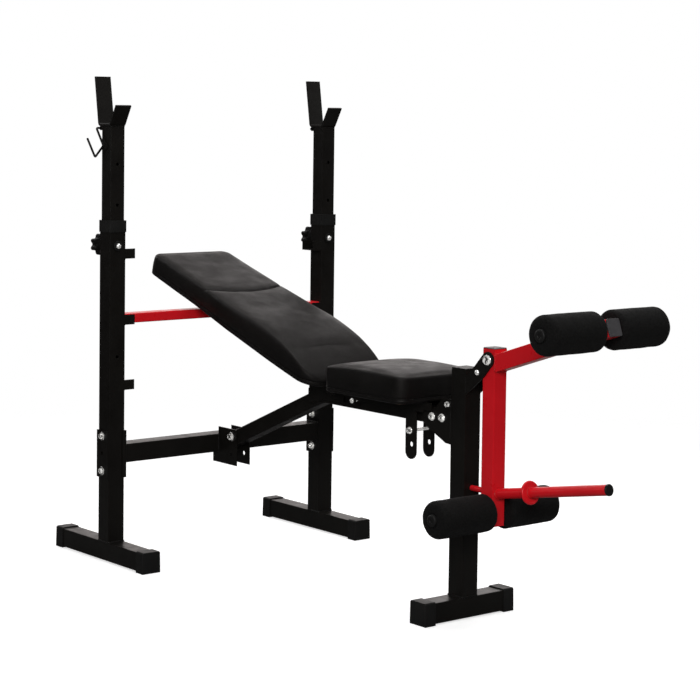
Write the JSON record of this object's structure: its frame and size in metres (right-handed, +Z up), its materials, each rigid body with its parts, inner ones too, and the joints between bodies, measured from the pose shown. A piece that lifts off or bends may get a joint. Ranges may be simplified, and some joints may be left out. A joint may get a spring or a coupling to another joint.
{
  "type": "olympic bench press",
  "caption": "Weight bench with telescoping bar posts, wire-hook bar catches, inclined padded backrest, seat and a red leg-curl lever with foam rollers and a weight horn.",
  "frame": {"origin": "on the floor, at the middle of the footprint", "axes": "+X from the bar posts towards the leg lever, +Y to the left side of the bench, +Z up"},
  "size_m": [1.6874, 0.7904, 1.2912],
  "materials": {
    "black_paint": "satin black powder coat",
    "red_paint": "gloss red powder coat",
    "black_plastic": "moulded, fine texture",
    "zinc_hardware": "bright zinc plate",
    "foam": "closed-cell foam, matt",
    "vinyl": "grained upholstery vinyl, satin",
    "board": "plywood, unfinished"
  },
  "bodies": {
    "frame": {"backrest_hinge_bolt": "zinc_hardware", "clevis_bolt": "zinc_hardware", "crossbeam": "black_paint", "front_foot_cap_left": "black_plastic", "front_foot_cap_right": "black_plastic", "front_leg": "black_paint", "gusset_bolt_middle": "zinc_hardware", "gusset_bolt_rear": "zinc_hardware", "gusset_bolt_top": "zinc_hardware", "left_crossbeam_bolt_lower": "zinc_hardware", "left_crossbeam_bolt_upper": "zinc_hardware", "left_foot_cap_front": "black_plastic", "left_foot_cap_rear": "black_plastic", "left_locking_bolt": "zinc_hardware", "left_locking_washer": "black_plastic", "left_post_collar": "black_plastic", "left_upright_frame": "black_paint", "leg_top_cap": "black_plastic", "lever_pivot_bolt": "zinc_hardware", "lever_stop_bolt": "zinc_hardware", "main_beam": "black_paint", "right_crossbeam_bolt_lower": "zinc_hardware", "right_crossbeam_bolt_upper": "zinc_hardware", "right_foot_cap_front": "black_plastic", "right_foot_cap_rear": "black_plastic", "right_locking_bolt": "zinc_hardware", "right_locking_washer": "black_plastic", "right_post_collar": "black_plastic", "right_upright_frame": "black_paint", "seat_hinge_bolt": "zinc_hardware"},
    "lever": {"arm_end_cap": "black_plastic", "horn_end_cap": "black_plastic", "leg_lever": "red_paint", "lever_top_cap": "black_plastic", "lower_left_roller_plug": "black_plastic", "lower_right_roller_plug": "black_plastic", "lower_roller_tube": "black_paint", "upper_left_roller_plug": "black_plastic", "upper_right_roller_plug": "black_plastic", "upper_roller_tube": "black_paint"},
    "backrest": {"backrest_board": "board", "backrest_frame": "black_paint", "backrest_pad": "vinyl"},
    "support_bar": {"backrest_support_bar": "red_paint"},
    "left_hook": {"left_safety_hook": "zinc_hardware"},
    "left_knob": {"left_star_knob": "black_plastic"},
    "left_post": {"left_telescoping_post": "black_paint"},
    "lower_left_roller": {"lower_left_foam_roller": "foam"},
    "lower_right_roller": {"lower_right_foam_roller": "foam"},
    "right_hook": {"right_safety_hook": "zinc_hardware"},
    "right_knob": {"right_star_knob": "black_plastic"},
    "right_post": {"right_telescoping_post": "black_paint"},
    "seat": {"seat_board": "board", "seat_frame": "black_paint", "seat_hanger_bolt": "zinc_hardware", "seat_pad": "vinyl"},
    "upper_left_roller": {"upper_left_foam_roller": "foam"},
    "upper_right_roller": {"upper_right_foam_roller": "foam"}
  },
  "joints": [
    {"name": "right_post_height", "type": "slide", "parent": "frame", "child": "right_post", "axis": [0, 0, 1], "range_m": [-0.216, 0.216]},
    {"name": "right_hook_swing", "type": "hinge", "parent": "right_post", "child": "right_hook", "pos_m": [-0.64071, -0.36, 1.1546], "axis": [0, -1, 0], "range_deg": [0, 155]},
    {"name": "right_knob_turn", "type": "hinge", "parent": "frame", "child": "right_knob", "pos_m": [-0.64971, -0.36, 0.8436], "axis": [1, 0, 0], "continuous": true},
    {"name": "left_post_height", "type": "slide", "parent": "frame", "child": "left_post", "axis": [0, 0, 1], "range_m": [-0.216, 0.216]},
    {"name": "left_hook_swing", "type": "hinge", "parent": "left_post", "child": "left_hook", "pos_m": [-0.64071, 0.36, 1.1546], "axis": [0, -1, 0], "range_deg": [0, 155]},
    {"name": "left_knob_turn", "type": "hinge", "parent": "frame", "child": "left_knob", "pos_m": [-0.64971, 0.36, 0.8436], "axis": [1, 0, 0], "continuous": true},
    {"name": "backrest_tilt", "type": "hinge", "parent": "frame", "child": "backrest", "pos_m": [-0.07171, 0, 0.5015], "axis": [0, 1, 0], "range_deg": [0, 40]},
    {"name": "support_bar_lift", "type": "slide", "parent": "frame", "child": "support_bar", "axis": [0, 0, 1], "range_m": [0, 0.046]},
    {"name": "seat_tilt", "type": "hinge", "parent": "frame", "child": "seat", "pos_m": [-0.00471, 0, 0.477], "axis": [0, -1, 0], "range_deg": [0, 5]},
    {"name": "leg_lever_swing", "type": "hinge", "parent": "frame", "child": "lever", "pos_m": [0.46829, 0, 0.629], "axis": [0, -1, 0], "range_deg": [0, 90]},
    {"name": "upper_right_roller_spin", "type": "hinge", "parent": "lever", "child": "upper_right_roller", "pos_m": [0.79679, -0.1015, 0.7262], "axis": [0, 1, 0], "continuous": true},
    {"name": "upper_left_roller_spin", "type": "hinge", "parent": "lever", "child": "upper_left_roller", "pos_m": [0.79679, 0.10775, 0.7262], "axis": [0, 1, 0], "continuous": true},
    {"name": "lower_right_roller_spin", "type": "hinge", "parent": "lever", "child": "lower_right_roller", "pos_m": [0.46829, -0.1025, 0.2699], "axis": [0, 1, 0], "continuous": true},
    {"name": "lower_left_roller_spin", "type": "hinge", "parent": "lever", "child": "lower_left_roller", "pos_m": [0.46829, 0.10585, 0.2699], "axis": [0, 1, 0], "continuous": true}
  ],
  "couplings": [
    {"joint": "support_bar_lift", "follows": "backrest_tilt", "m_per_rad": 0.0645}
  ]
}
